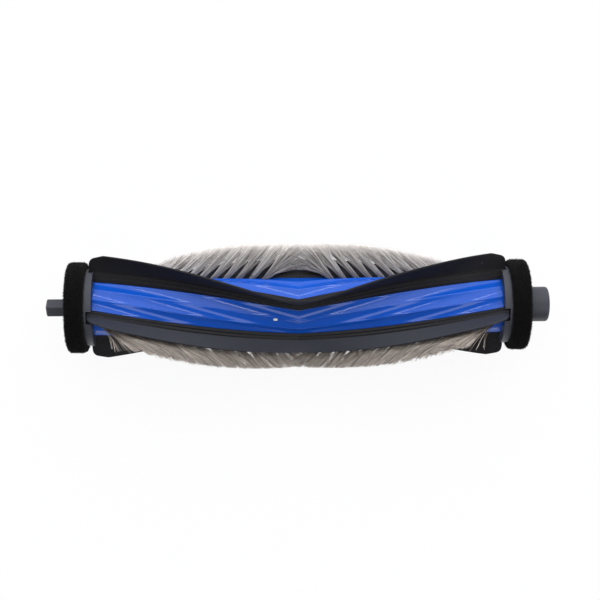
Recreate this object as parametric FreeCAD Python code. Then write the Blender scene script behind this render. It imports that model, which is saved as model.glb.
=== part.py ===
import FreeCAD, Part
import math
import os

# Chevron roller brush of a floor-cleaning robot, in millimetres and degrees.
# The roller's axis is +X, the origin is on it at mid length, and +Z is up.
# The square drive stub points to -X and the free-turning bearing cap to +X.
# Angles round the axis run from +Z towards +Y.

# Core: a many-sided moulded bar, twisted the same way from its middle to both ends,
# by core_twist on each half; its free facets are hollowed to shallow flutes
core_half_length = 76.7
core_corner_radius = 10.7
core_sides = 16
flute_depth = 0.25
ridge_half_width = 0.15
flute_shares = (-1.2, -0.6, 0.0, 0.6, 1.2)
flute_facets = (1, 2, 5, 6, 7)
core_twist = 71.4844
core_bore_radius = 5.0
core_spans = 6

# Facets that carry the rows, counted from a tall blade; all repeat half a turn on
bristle_facet = 3
short_blade_facet = 4
key_facet = 2

# T-shaped slots of the core and the blade feet that slide into them
slot_mouth_half = 0.85
slot_lip_depth = 1.1
slot_foot_half = 1.55
slot_foot_depth = 1.15
slot_clearance = 0.08
blade_seat_gap = 0.04

# Rubber blades: stepped base strip and thin flap
blade_pad_half = 2.1
blade_step_half = 1.35
tall_pad_height = 1.8
tall_step_height = 1.5
tall_tip_radius = 20.9
short_pad_height = 1.15
short_step_height = 1.05
short_tip_radius = 17.8
flap_root_half = 0.55
flap_tip_half = 0.4
flap_vertex_rounding = 6.4
flap_lag = 3.2
blade_end_overhang = 1.7
flap_slope_length = 5.7
flap_slope_angle = 18.0
flap_corner_radius = 2.9
blade_vertex_shares = (0.0, 0.5, 1.0, 1.5, 2.2)
blade_far_spans = 4

# Bristle tufts, set in slanted blind holes; the lean grows evenly from the middle to the ends
tuft_pitch = 5.0
tuft_end_margin = 3.2
tuft_lean_middle = 38.0
tuft_lean_end = 51.0
tuft_tip_radius = 23.7
tuft_tip_half_width = 1.6
tuft_tip_half_length = 1.95
tuft_middle_gap = 0.17
tuft_sides = 8
tuft_hole_radius = 0.95
tuft_hole_depth = 3.4
tuft_clearance = 0.03
anchor_height = 1.2
anchor_thickness = 0.35

# End caps: spigot in the core, slotted collar, rim that carries the pile ring
cap_gap = 0.05
spigot_length = 13.0
spigot_clearance = 0.1
spigot_chamfer = 0.8
key_height = 0.9
key_half_width = 1.0
key_length = 9.0
key_clearance = 0.12
collar_length = 3.0
collar_radius = 14.45
collar_slot_clearance = 0.3
rim_length = 6.2
rim_radius = 14.0
rim_wall = 1.8
dish_depth = 1.5
hub_radius = 9.0
end_reach = 9.1

# Pile rings
pile_height = 3.0
pile_ring_width = 6.7
pile_ring_gap = 0.05
pile_ring_chamfer = 0.7

# Square drive stub
drive_square = 4.8
drive_square_roll = 45.0
drive_corner_rounding = 0.4
drive_end_chamfer = 0.5

# Bearing end: pressed steel pin, thrust washer, bush, clip and the outer cap
pin_radius = 1.5
pin_press_clearance = 0.01
pin_depth = 18.0
pin_chamfer = 0.3
pocket_depth = 1.6
pocket_clearance = 0.5
bearing_skirt_radius = 6.1
bearing_cap_radius = 6.6
bearing_cap_rounding = 1.0
bearing_cap_floor = 1.3
bearing_cap_clearance = 0.4
bush_radius = 4.0
bush_length = 6.4
bush_running_clearance = 0.03
bush_press_clearance = 0.01
bush_end_play = 0.15
washer_radius = 3.4
washer_thickness = 0.5
washer_clearance = 0.06
clip_radius = 2.9
clip_thickness = 0.45
clip_groove_depth = 0.35
clip_clearance = 0.04
clip_mouth_half = 0.9
clip_room = 0.5
pin_end_past_clip = 0.6

# Sizes that follow from those above
twist_per_mm = core_twist / core_half_length
facet_angle = 360.0 / core_sides
seat = core_corner_radius * math.cos(math.radians(facet_angle / 2))
flute_half_width = core_corner_radius * math.sin(math.radians(facet_angle / 2)) - ridge_half_width
slot_depth = slot_lip_depth + slot_foot_depth
blade_end = core_half_length + blade_end_overhang
collar_end = core_half_length + collar_length
rim_end = collar_end + rim_length
reach = rim_end + end_reach
pile_ring_radius = rim_radius + pile_height
tuft_height = tuft_tip_radius - seat
first_tip = tuft_middle_gap + tuft_tip_half_length
first_tuft = first_tip + tuft_height * math.tan(math.radians(tuft_lean_middle))
tuft_count = 1 + int((core_half_length - tuft_end_margin - first_tuft) / tuft_pitch)
last_tuft = first_tuft + tuft_pitch * (tuft_count - 1)
tuft_lean_step = (tuft_lean_end - tuft_lean_middle) / (tuft_count - 1)

# Roll of the upper tall blade when the roller lies on the middle of the lower tall
# blade and on the last tufts at both ends
tip_lead = twist_per_mm * (flap_vertex_rounding - flap_lag)
flap_edge = math.degrees(math.atan2(flap_tip_half, tall_tip_radius))
flap_reach = math.hypot(tall_tip_radius, flap_tip_half)
tuft_edge = math.degrees(math.atan2(tuft_tip_half_width, tuft_tip_radius))
tuft_reach = math.hypot(tuft_tip_radius, tuft_tip_half_width)
end_tuft_angle = bristle_facet * facet_angle + twist_per_mm * last_tuft + tuft_edge
rest_span = math.radians(180.0 + tip_lead - flap_edge - end_tuft_angle)
rest_tilt = math.atan2(flap_reach - tuft_reach * math.cos(rest_span), tuft_reach * math.sin(rest_span))
top_angle = math.degrees(rest_tilt) - tip_lead + flap_edge

ORIGIN = FreeCAD.Vector(0, 0, 0)
AXIS = FreeCAD.Vector(1, 0, 0)


def radial(angle):
    """Unit vector away from the axis at an angle."""
    turn = math.radians(angle)
    return FreeCAD.Vector(0, math.sin(turn), math.cos(turn))


def tangent(angle):
    """Unit vector round the axis, towards growing angles."""
    turn = math.radians(angle)
    return FreeCAD.Vector(0, math.cos(turn), -math.sin(turn))


def place(x, angle, across, out):
    """Point at a length along the axis, across and out from a row's centre line."""
    return AXIS * x + radial(angle) * out + tangent(angle) * across


def row_angle(facet, x):
    """Angle of a facet's centre line at a distance from mid length."""
    return top_angle + facet * facet_angle + twist_per_mm * x


def closed_wire(points):
    """Closed polygon through the points."""
    return Part.makePolygon(points + points[:1])


def turned(outline):
    """Solid of revolution from (x, radius) corners."""
    points = [FreeCAD.Vector(x, 0, radius) for x, radius in outline]
    return Part.Face(closed_wire(points)).revolve(ORIGIN, AXIS, 360)


def tube(start, end, outer, inner):
    """Plain sleeve along the axis."""
    return turned([(start, inner), (end, inner), (end, outer), (start, outer)])


def row_box(x, angle, out, length, width, height):
    """Box that starts at a point of a row's centre line and runs along the axis and outwards."""
    box = Part.makeBox(length, width, height)
    turn = FreeCAD.Rotation(AXIS, tangent(angle), radial(angle), "XYZ")
    box.Placement = FreeCAD.Placement(place(x, angle, -width / 2, out), turn)
    return box


def mirrored(shape):
    """Copy on the other side of mid length."""
    return shape.mirror(ORIGIN, AXIS)


def half_turned(shape):
    """Copy on the other side of the axis."""
    copy = shape.copy()
    copy.rotate(ORIGIN, AXIS, 180)
    return copy


def slot_outline(x, facet):
    """Corners of one T slot, in the order of growing angle."""
    angle = row_angle(facet, x)
    lip = seat - slot_lip_depth
    floor = seat - slot_depth
    corners = [(slot_mouth_half, seat), (slot_mouth_half, lip),
               (slot_foot_half, lip), (slot_foot_half, floor)]
    left = [place(x, angle, -across, out) for across, out in corners]
    right = [place(x, angle, across, out) for across, out in reversed(corners)]
    return left + right


def core_section(x):
    """Outline of the core, with a T slot on each facet that holds a blade."""
    points = []
    for facet in range(core_sides):
        corner_angle = row_angle(facet - 0.5, x)
        points.append(place(x, corner_angle, 0, core_corner_radius))
        if facet % short_blade_facet == 0:
            points += slot_outline(x, facet)
    return closed_wire(points)


def tuft_seat(index):
    """Mouth, row angle, lean and direction of a tuft on the +X half, which leans towards mid length."""
    x = first_tuft + tuft_pitch * index
    angle = row_angle(bristle_facet, x)
    lean = math.radians(tuft_lean_middle + tuft_lean_step * index)
    along = radial(angle) * math.cos(lean) - AXIS * math.sin(lean)
    return place(x, angle, 0, seat), angle, lean, along


def tuft_hole(index):
    """Slanted blind hole of a tuft."""
    mouth, angle, lean, along = tuft_seat(index)
    bottom = mouth - along * tuft_hole_depth
    return Part.makeCylinder(tuft_hole_radius, 2 * tuft_hole_depth, bottom, along)


def spigot_keys(clearance):
    """Two ribs on the +X spigot, or with a clearance the keyways that take them."""
    height = core_bore_radius + key_height + clearance
    width = 2 * (key_half_width + clearance)
    start = core_half_length - key_length - clearance
    length = core_half_length + cap_gap - start
    angle = row_angle(key_facet, 0)
    return [row_box(start, turn, 0, length, width, height) for turn in (angle, angle + 180)]


def flute_section(x, facet):
    """Outline of what a flute takes from a facet."""
    angle = row_angle(facet, x)
    floor = [(flute_half_width * share, seat - flute_depth * (1 - share ** 2)) for share in flute_shares]
    above = [(floor[-1][0], core_corner_radius + flute_depth), (floor[0][0], core_corner_radius + flute_depth)]
    return closed_wire([place(x, angle, across, out) for across, out in floor + above])


def roller_core():
    """Twisted bar with T slots, flutes, tuft holes and a keyed bore."""
    stations = [core_half_length * span / core_spans for span in range(core_spans + 1)]
    half = Part.makeLoft([core_section(x) for x in stations], True, False)
    cuts = [tuft_hole(index) for index in range(tuft_count)]
    cuts += [Part.makeLoft([flute_section(x, facet) for x in stations], True, False) for facet in flute_facets]
    cuts += [half_turned(cut) for cut in cuts]
    bore = Part.makeCylinder(core_bore_radius, core_half_length, ORIGIN, AXIS)
    half = half.cut([bore] + spigot_keys(key_clearance) + cuts)
    return half.fuse(mirrored(half))


def flap_tip_angle(facet, x):
    """Angle of the flap's free edge, which rounds the chevron's point."""
    rounded = (x ** 4 + flap_vertex_rounding ** 4) ** 0.25
    return row_angle(facet, rounded - flap_lag)


def blade_section(x, facet, pad_height, step_height, tip_radius):
    """Foot, neck, stepped base and flap of a blade, cut across the axis."""
    angle = row_angle(facet, x)
    foot = slot_foot_half - slot_clearance
    neck = slot_mouth_half - slot_clearance
    floor = seat - slot_depth + slot_clearance
    lip = seat - slot_lip_depth - slot_clearance
    base = seat + blade_seat_gap
    pad_top = base + pad_height
    step_top = pad_top + step_height
    side = [(foot, floor), (foot, lip), (neck, lip), (neck, base), (blade_pad_half, base),
            (blade_pad_half, pad_top), (blade_step_half, pad_top), (blade_step_half, step_top),
            (flap_root_half, step_top)]
    tip_angle = flap_tip_angle(facet, x)
    points = [place(x, angle, across, out) for across, out in side]
    points += [place(x, tip_angle, across, tip_radius) for across in (flap_tip_half, -flap_tip_half)]
    points += [place(x, angle, -across, out) for across, out in reversed(side)]
    return closed_wire(points)


def flap_corner_cutter(tip_radius):
    """Ring that slopes and rounds the flap's outer corner at the +X end."""
    slope = math.radians(flap_slope_angle)
    start = blade_end - flap_slope_length
    over = flap_corner_radius
    meet_x = blade_end - flap_corner_radius * (1 - math.sin(slope))
    meet_radius = tip_radius - math.tan(slope) * (meet_x - start)
    centre_x = blade_end - flap_corner_radius
    centre_radius = meet_radius - flap_corner_radius * math.cos(slope)
    middle = math.radians(90 - flap_slope_angle) / 2
    top = FreeCAD.Vector(start - over / math.tan(slope), 0, tip_radius + over)
    meet = FreeCAD.Vector(meet_x, 0, meet_radius)
    bend = FreeCAD.Vector(centre_x + flap_corner_radius * math.cos(middle), 0,
                          centre_radius + flap_corner_radius * math.sin(middle))
    end = FreeCAD.Vector(blade_end, 0, centre_radius)
    outside = [FreeCAD.Vector(blade_end + over, 0, out) for out in (centre_radius, top.z)]
    edges = [Part.LineSegment(top, meet).toShape(), Part.Arc(meet, bend, end).toShape()]
    edges += Part.makePolygon([end] + outside + [top]).Edges
    return Part.Face(Part.Wire(edges)).revolve(ORIGIN, AXIS, 360)


def blade(facet, pad_height, step_height, tip_radius):
    """One chevron blade, its two halves joined at the point."""
    near = [flap_vertex_rounding * share for share in blade_vertex_shares]
    span = (blade_end - near[-1]) / blade_far_spans
    stations = near + [near[-1] + span * (index + 1) for index in range(blade_far_spans)]
    wires = [blade_section(x, facet, pad_height, step_height, tip_radius) for x in stations]
    half = Part.makeLoft(wires, True, False).cut(flap_corner_cutter(tip_radius))
    return half.fuse(mirrored(half))


def tuft_ring(centre, first, second):
    """Polygon round a tuft, from two half-width vectors."""
    turns = [2 * math.pi * index / tuft_sides for index in range(tuft_sides)]
    return closed_wire([centre + first * math.cos(turn) + second * math.sin(turn) for turn in turns])


def tuft(index):
    """Tuft with a root in its hole, flaring to a tip trimmed level."""
    mouth, angle, lean, along = tuft_seat(index)
    round_axis = tangent(angle)
    root = mouth - along * (tuft_hole_depth - anchor_height)
    tip = mouth + along * (tuft_height / math.cos(lean))
    root_half = tuft_hole_radius - tuft_clearance
    root_side = along.cross(round_axis) * root_half
    rings = [tuft_ring(root, root_side, round_axis * root_half),
             tuft_ring(mouth, root_side, round_axis * root_half),
             tuft_ring(tip, AXIS * -tuft_tip_half_length, round_axis * tuft_tip_half_width)]
    return Part.makeLoft(rings, True, True)


def tuft_anchor(index):
    """Flat metal anchor that stands on the bottom of a tuft's hole."""
    mouth, angle, lean, along = tuft_seat(index)
    round_axis = tangent(angle)
    half_width = math.sqrt((tuft_hole_radius - tuft_clearance) ** 2 - (anchor_thickness / 2) ** 2)
    through = along.cross(round_axis)
    bottom = mouth - along * tuft_hole_depth
    corner = bottom - round_axis * half_width - through * (anchor_thickness / 2)
    anchor = Part.makeBox(2 * half_width, anchor_thickness, anchor_height)
    anchor.Placement = FreeCAD.Placement(corner, FreeCAD.Rotation(round_axis, through, along, "ZXY"))
    return anchor


def collar_slots():
    """Notches of the +X collar where the blade ends seat."""
    middle = core_half_length + blade_end_overhang / 2
    width = 2 * (blade_pad_half + collar_slot_clearance)
    bottom = seat - slot_depth - collar_slot_clearance
    length = blade_end_overhang + collar_slot_clearance
    angles = [row_angle(facet, middle) for facet in range(0, core_sides, short_blade_facet)]
    return [row_box(core_half_length, angle, bottom, length, width, collar_radius) for angle in angles]


def end_cap():
    """Parts that both end caps share: spigot, keys, slotted collar, rim and dished face."""
    spigot = core_bore_radius - spigot_clearance
    inner = core_half_length - spigot_length
    face = core_half_length + cap_gap
    rim_inner = rim_radius - rim_wall
    outline = [(inner, 0), (inner, spigot - spigot_chamfer), (inner + spigot_chamfer, spigot),
               (face, spigot), (face, collar_radius), (collar_end, collar_radius),
               (collar_end, rim_radius), (rim_end, rim_radius), (rim_end, rim_inner),
               (rim_end - dish_depth, rim_inner), (rim_end - dish_depth, hub_radius),
               (rim_end, hub_radius), (rim_end, 0)]
    return turned(outline).fuse(spigot_keys(0.0)).cut(collar_slots())


def square_outline(half, height):
    """Square about the Z axis."""
    corners = [(-half, -half), (half, -half), (half, half), (-half, half)]
    return closed_wire([FreeCAD.Vector(x, y, height) for x, y in corners])


def drive_stub():
    """Square stub at the +X end, one corner in line with the upper tall blade."""
    length = reach - rim_end + dish_depth
    half = drive_square / 2
    stub = Part.makeBox(drive_square, drive_square, length, FreeCAD.Vector(-half, -half, 0))
    long_edges = [edge for edge in stub.Edges if edge.BoundBox.ZLength > length / 2]
    stub = stub.makeFillet(drive_corner_rounding, long_edges)
    tip_half = half - drive_end_chamfer
    outlines = [square_outline(tip_half + length, 0), square_outline(tip_half, length)]
    stub = stub.common(Part.makeLoft(outlines, True, True))
    stub.rotate(ORIGIN, FreeCAD.Vector(0, 0, 1), drive_square_roll)
    turn = FreeCAD.Rotation(tangent(top_angle), radial(top_angle), AXIS, "ZXY")
    stub.Placement = FreeCAD.Placement(AXIS * (reach - length), turn).multiply(stub.Placement)
    return stub


def pile_ring():
    """Pile strip wrapped round the +X rim, its edges a little worn."""
    start = collar_end + pile_ring_gap
    end = collar_end + pile_ring_width
    inner = rim_radius + pile_ring_gap
    worn = pile_ring_radius - pile_ring_chamfer
    return turned([(start, inner), (end, inner), (end, worn), (end - pile_ring_chamfer, pile_ring_radius),
                   (start + pile_ring_chamfer, pile_ring_radius), (start, worn)])


# Places along the bearing end
pocket_floor = rim_end - pocket_depth
bush_start = pocket_floor + washer_thickness + bush_end_play
bush_end = bush_start + bush_length
clip_start = bush_end + bush_end_play
clip_end = clip_start + clip_thickness
pin_end = clip_end + clip_clearance + pin_end_past_clip
pin_start = pocket_floor - pin_depth
groove_radius = pin_radius - clip_groove_depth


def bearing_end_cap():
    """End cap with a pocket for the bearing cap and a pressed pin."""
    pocket_radius = bearing_skirt_radius + pocket_clearance
    pocket = Part.makeCylinder(pocket_radius, pocket_depth, AXIS * pocket_floor, AXIS)
    hole = Part.makeCylinder(pin_radius + pin_press_clearance, pin_depth, AXIS * pin_start, AXIS)
    return end_cap().cut([pocket, hole])


def axle_pin():
    """Steel pin with a clip groove near its free end."""
    blunt = pin_radius - pin_chamfer
    groove_start = clip_start - clip_clearance
    groove_end = clip_end + clip_clearance
    return turned([(pin_start, 0), (pin_start, blunt), (pin_start + pin_chamfer, pin_radius),
                   (groove_start, pin_radius), (groove_start, groove_radius), (groove_end, groove_radius),
                   (groove_end, pin_radius), (pin_end - pin_chamfer, pin_radius),
                   (pin_end, blunt), (pin_end, 0)])


def retaining_clip():
    """Open ring that snaps into the pin's groove."""
    ring = tube(clip_start, clip_end, clip_radius, groove_radius + clip_clearance)
    return ring.cut(row_box(clip_start, top_angle, 0, clip_thickness, 2 * clip_mouth_half, clip_radius))


def bearing_cap():
    """Cup over the bush, with a skirt in the pocket and a rounded outer rim."""
    start = pocket_floor + bearing_cap_clearance
    shoulder = rim_end + bearing_cap_clearance
    seat_radius = bush_radius + bush_press_clearance
    room_radius = clip_radius + clip_room
    cup = turned([(start, seat_radius), (bush_end, seat_radius), (bush_end, room_radius),
                  (reach - bearing_cap_floor, room_radius), (reach - bearing_cap_floor, 0), (reach, 0),
                  (reach, bearing_cap_radius), (shoulder, bearing_cap_radius),
                  (shoulder, bearing_skirt_radius), (start, bearing_skirt_radius)])
    rim = [edge for edge in cup.Edges if edge.BoundBox.XMin > reach - bearing_cap_rounding
           and edge.BoundBox.ZMax > bearing_cap_radius - bearing_cap_rounding]
    return cup.makeFillet(bearing_cap_rounding, rim)


tall = (0, tall_pad_height, tall_step_height, tall_tip_radius)
short = (short_blade_facet, short_pad_height, short_step_height, short_tip_radius)
half_row = Part.makeCompound([tuft(index) for index in range(tuft_count)])
half_anchors = Part.makeCompound([tuft_anchor(index) for index in range(tuft_count)])
anchors = Part.makeCompound([half_anchors, mirrored(half_anchors)])
ring = pile_ring()
tall_blade = blade(*tall)
short_blade = blade(*short)

nodes = {
    "roller_core": roller_core(),
    "tall_blade_1": tall_blade,
    "tall_blade_2": half_turned(tall_blade),
    "short_blade_1": short_blade,
    "short_blade_2": half_turned(short_blade),
    "bristle_row_1_left": mirrored(half_row),
    "bristle_row_1_right": half_row,
    "bristle_row_2_left": mirrored(half_turned(half_row)),
    "bristle_row_2_right": half_turned(half_row),
    "tuft_anchors_row_1": anchors,
    "tuft_anchors_row_2": half_turned(anchors),
    "drive_end_cap": mirrored(end_cap().fuse(drive_stub())),
    "drive_pile_ring": mirrored(ring),
    "bearing_end_cap": bearing_end_cap(),
    "bearing_pile_ring": ring,
    "axle_pin": axle_pin(),
    "thrust_washer": tube(pocket_floor, pocket_floor + washer_thickness, washer_radius,
                          pin_radius + washer_clearance),
    "retaining_clip": retaining_clip(),
    "bearing_bush": tube(bush_start, bush_end, bush_radius, pin_radius + bush_running_clearance),
    "bearing_cap": bearing_cap(),
}

os.makedirs("parts", exist_ok=True)
for name, shape in nodes.items():
    shape.exportStep("parts/" + name + ".step")
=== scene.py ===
# %% [markdown]
# # The looks of a chevron roller brush
#
# This lesson dresses a small roller brush, the kind that sweeps under a floor-cleaning robot. The solid
# model is already made and loaded as a fixed frame. Here each visible piece gets the form and the finish
# that the eye looks for: a glossy twisted core, thin rubber blades, loose nylon fibres and black pile.

# %% Load the frame and keep its box
import math
import random

import bmesh
import bpy
from mathutils import Matrix, Vector, noise


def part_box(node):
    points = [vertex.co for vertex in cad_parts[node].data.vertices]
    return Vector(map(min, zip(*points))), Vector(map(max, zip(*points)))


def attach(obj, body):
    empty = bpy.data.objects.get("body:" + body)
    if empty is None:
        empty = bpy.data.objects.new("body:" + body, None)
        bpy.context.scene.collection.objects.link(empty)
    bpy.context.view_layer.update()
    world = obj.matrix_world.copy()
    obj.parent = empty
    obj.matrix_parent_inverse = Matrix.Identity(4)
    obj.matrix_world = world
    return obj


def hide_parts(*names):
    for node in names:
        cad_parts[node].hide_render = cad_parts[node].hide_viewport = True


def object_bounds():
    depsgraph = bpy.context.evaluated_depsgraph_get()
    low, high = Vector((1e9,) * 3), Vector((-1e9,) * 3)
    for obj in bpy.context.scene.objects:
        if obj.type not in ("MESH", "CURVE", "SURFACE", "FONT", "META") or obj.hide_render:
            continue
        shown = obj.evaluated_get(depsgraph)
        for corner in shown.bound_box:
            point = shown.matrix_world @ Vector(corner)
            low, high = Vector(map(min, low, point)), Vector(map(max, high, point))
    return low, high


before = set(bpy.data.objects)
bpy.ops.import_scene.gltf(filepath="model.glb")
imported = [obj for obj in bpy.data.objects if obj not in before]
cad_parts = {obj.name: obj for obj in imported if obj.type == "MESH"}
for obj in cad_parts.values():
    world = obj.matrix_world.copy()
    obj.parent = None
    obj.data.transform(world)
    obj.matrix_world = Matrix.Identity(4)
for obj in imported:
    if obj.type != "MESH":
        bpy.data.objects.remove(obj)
solid_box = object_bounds()
print("nodes loaded:", len(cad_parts))

# %% [markdown]
# ## Sizes
#
# Blender works in metres, so each size is written in millimetres and multiplied once. They are the sizes
# of the real pieces. The roll of the brush is not typed in: it is measured on the frame, from the middle of
# the upper tall blade's free edge.

# %% Sizes of the core and its rows
MM = 0.001
core_half_length = 76.7 * MM
core_corner_radius = 10.7 * MM
core_sides = 16
core_twist = 71.4844
quarter_turn = core_sides // 4
half_turn = core_sides // 2
facet_angle = 360.0 / core_sides
twist_rate = core_twist / core_half_length
seat = core_corner_radius * math.cos(math.radians(facet_angle / 2))
print("facets of", round(facet_angle, 1), "degrees, seats at", round(seat / MM, 2), "mm from the axis")

# %% Places round the axis
flap_vertex_rounding = 6.4 * MM
flap_lag = 3.2 * MM
tip_lead = twist_rate * (flap_vertex_rounding - flap_lag)
measuring_slack = 0.01 * MM


def radial(angle):
    """Unit vector away from the axis; angles run from +Z towards +Y."""
    turn = math.radians(angle)
    return Vector((0, math.sin(turn), math.cos(turn)))


def tangent(angle):
    """Unit vector round the axis, towards growing angles."""
    turn = math.radians(angle)
    return Vector((0, math.cos(turn), -math.sin(turn)))


def place(x, angle, across, out):
    """Point at a length along the axis, across and out from a row's centre line."""
    return Vector((x, 0, 0)) + radial(angle) * out + tangent(angle) * across


def middle_tip_angle(node):
    """Angle of a blade's free edge at mid length."""
    points = [vertex.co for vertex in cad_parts[node].data.vertices]
    tips = [point for point in points if abs(point.x) < measuring_slack]
    reach = max(point.yz.length for point in tips)
    edge = [point for point in tips if point.yz.length > reach - measuring_slack]
    middle = sum(edge, Vector()) / len(edge)
    return math.degrees(math.atan2(middle.y, middle.z))


top_angle = middle_tip_angle("tall_blade_1") - tip_lead
print("the upper tall blade stands", round(top_angle, 2), "degrees from the vertical")

# %% [markdown]
# ## Tools for the pieces
#
# Every long piece of this brush is a screw: one flat outline that moves along the axis while it turns.
# The spin operator does that when it is given a step along its axis as well, so the outline is drawn once
# and carried to one end. A mirror makes the other half, and with it the chevron.


# %% Outlines
def row_angle(facet):
    """Angle of a facet's centre line at mid length."""
    return top_angle + facet * facet_angle


def outline_face(bm, points):
    """Flat face through the points, with its corner vertices in the same order."""
    corners = [bm.verts.new(point) for point in points]
    bm.faces.new(corners)
    return corners


def round_corners(bm, corners, width, segments):
    """Rounds corners of a flat outline."""
    bmesh.ops.bevel(bm, geom=corners, offset=width, segments=segments, profile=0.5,
                    affect="VERTICES", material=-1)


def open_outline(bm):
    """Leaves only the outline's wire and returns it."""
    bmesh.ops.delete(bm, geom=list(bm.faces), context="FACES_ONLY")
    return list(bm.verts) + list(bm.edges)


print("the short blades' row stands at", round(row_angle(quarter_turn), 2), "degrees")

# %% Screw and mirror
AXIS = (1, 0, 0)
ORIGIN = (0, 0, 0)
WELD = 0.001 * MM


def screw(bm, wire, length, turn, steps):
    """Carries a wire along the axis while it turns, and returns the wire at the far end."""
    made = bmesh.ops.spin(bm, geom=wire, cent=ORIGIN, axis=AXIS, dvec=(length / steps, 0, 0),
                          angle=-math.radians(turn), steps=steps)
    return made["geom_last"]


def edges_of(geometry):
    """The edges in a mixed list."""
    return [item for item in geometry if isinstance(item, bmesh.types.BMEdge)]


def both_halves(bm):
    """Adds the mirror image across mid length and welds the two."""
    everything = list(bm.verts) + list(bm.edges) + list(bm.faces)
    bmesh.ops.mirror(bm, geom=everything, matrix=Matrix.Identity(4), merge_dist=WELD, axis="X")


print("points closer than", round(WELD / MM, 4), "mm are welded")


# %% From a mesh to a piece
def to_piece(bm, name, finish, sharp_angle):
    """Turns a bmesh into an object with outward faces, smooth between its sharp edges."""
    bmesh.ops.remove_doubles(bm, verts=list(bm.verts), dist=WELD)
    bmesh.ops.recalc_face_normals(bm, faces=list(bm.faces))
    mesh = bpy.data.meshes.new(name)
    bm.to_mesh(mesh)
    bm.free()
    mesh.materials.append(finish)
    mesh.shade_smooth()
    mesh.set_sharp_from_angle(angle=math.radians(sharp_angle))
    piece = bpy.data.objects.new(name, mesh)
    bpy.context.scene.collection.objects.link(piece)
    print(name, "has", len(mesh.polygons), "faces")
    return piece


def stands_for(piece, body, slot, *nodes):
    """Lets a piece ride on a body in place of solid nodes."""
    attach(piece, body)
    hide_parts(*nodes)


# %% [markdown]
# ## Finishes
#
# Three effects turn up on several materials, so each is a node group. Moulded grain is a fine noise for
# roughness and bump. Dust is a sparse scatter of pale specks, which dark rubber always shows. Distance from
# the axis tells a fibre's root from its tip. All of them read Object coordinates, so nothing slides.

# %% Moulded grain group
fine_grain_ratio = 6.0


def add_node(tree, kind, inputs=None, **settings):
    """New node with its settings and unlinked inputs."""
    node = tree.nodes.new(kind)
    for name, value in settings.items():
        setattr(node, name, value)
    for name, value in (inputs or {}).items():
        node.inputs[name].default_value = value
    return node


def new_group(name, inputs, outputs):
    """Empty node group with float sockets; returns it with its input and output nodes."""
    group = bpy.data.node_groups.new(name, "ShaderNodeTree")
    for socket, value in inputs.items():
        made = group.interface.new_socket(socket, in_out="INPUT", socket_type="NodeSocketFloat")
        made.default_value = value
    for socket in outputs:
        group.interface.new_socket(socket, in_out="OUTPUT", socket_type="NodeSocketFloat")
    return group, group.nodes.new("NodeGroupInput"), group.nodes.new("NodeGroupOutput")


def make_grain():
    """Noise at two scales, as a mask and as a height."""
    group, given, out = new_group("moulded_grain", {"Scale": 1000.0}, ("Mask", "Height"))
    links = group.links
    where = add_node(group, "ShaderNodeTexCoord")
    coarse = add_node(group, "ShaderNodeTexNoise", {"Detail": 3.0, "Roughness": 0.6})
    ratio = add_node(group, "ShaderNodeMath", {1: fine_grain_ratio}, operation="MULTIPLY")
    fine = add_node(group, "ShaderNodeTexNoise", {"Detail": 1.0})
    links.new(where.outputs["Object"], coarse.inputs["Vector"])
    links.new(where.outputs["Object"], fine.inputs["Vector"])
    links.new(given.outputs["Scale"], coarse.inputs["Scale"])
    links.new(given.outputs["Scale"], ratio.inputs[0])
    links.new(ratio.outputs[0], fine.inputs["Scale"])
    links.new(coarse.outputs["Fac"], out.inputs["Mask"])
    links.new(fine.outputs["Fac"], out.inputs["Height"])
    return group


grain = make_grain()
print("group made:", grain.name)


# %% Dust group
def make_dust():
    """Sparse round specks of uneven size."""
    group, given, out = new_group("dust_specks", {"Scale": 400.0, "Amount": 0.1, "Size": 0.2}, ("Mask",))
    links = group.links
    where = add_node(group, "ShaderNodeTexCoord")
    cells = add_node(group, "ShaderNodeTexVoronoi", {"Randomness": 1.0})
    parts = add_node(group, "ShaderNodeSeparateColor")
    chosen = add_node(group, "ShaderNodeMath", operation="LESS_THAN")
    size = add_node(group, "ShaderNodeMath", operation="MULTIPLY")
    near = add_node(group, "ShaderNodeMath", operation="LESS_THAN")
    both = add_node(group, "ShaderNodeMath", operation="MULTIPLY")
    links.new(where.outputs["Object"], cells.inputs["Vector"])
    links.new(given.outputs["Scale"], cells.inputs["Scale"])
    links.new(cells.outputs["Color"], parts.inputs["Color"])
    links.new(parts.outputs["Red"], chosen.inputs[0])
    links.new(given.outputs["Amount"], chosen.inputs[1])
    links.new(parts.outputs["Green"], size.inputs[0])
    links.new(given.outputs["Size"], size.inputs[1])
    links.new(cells.outputs["Distance"], near.inputs[0])
    links.new(size.outputs[0], near.inputs[1])
    links.new(chosen.outputs[0], both.inputs[0])
    links.new(near.outputs[0], both.inputs[1])
    links.new(both.outputs[0], out.inputs["Mask"])
    return group


dust = make_dust()
print("group made:", dust.name)

# %% Distance group
ACROSS_AXIS = (0.0, 1.0, 1.0)


def make_reach():
    """Share of the way from one distance off the axis to another."""
    group, given, out = new_group("reach_from_axis", {"From": 0.0, "To": 1.0}, ("Share",))
    links = group.links
    where = add_node(group, "ShaderNodeTexCoord")
    flatten = add_node(group, "ShaderNodeVectorMath", {1: ACROSS_AXIS}, operation="MULTIPLY")
    length = add_node(group, "ShaderNodeVectorMath", operation="LENGTH")
    share = add_node(group, "ShaderNodeMapRange")
    links.new(where.outputs["Object"], flatten.inputs[0])
    links.new(flatten.outputs["Vector"], length.inputs[0])
    links.new(length.outputs["Value"], share.inputs["Value"])
    links.new(given.outputs["From"], share.inputs["From Min"])
    links.new(given.outputs["To"], share.inputs["From Max"])
    links.new(share.outputs["Result"], out.inputs["Share"])
    return group


reach_share = make_reach()
print("group made:", reach_share.name)

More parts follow.
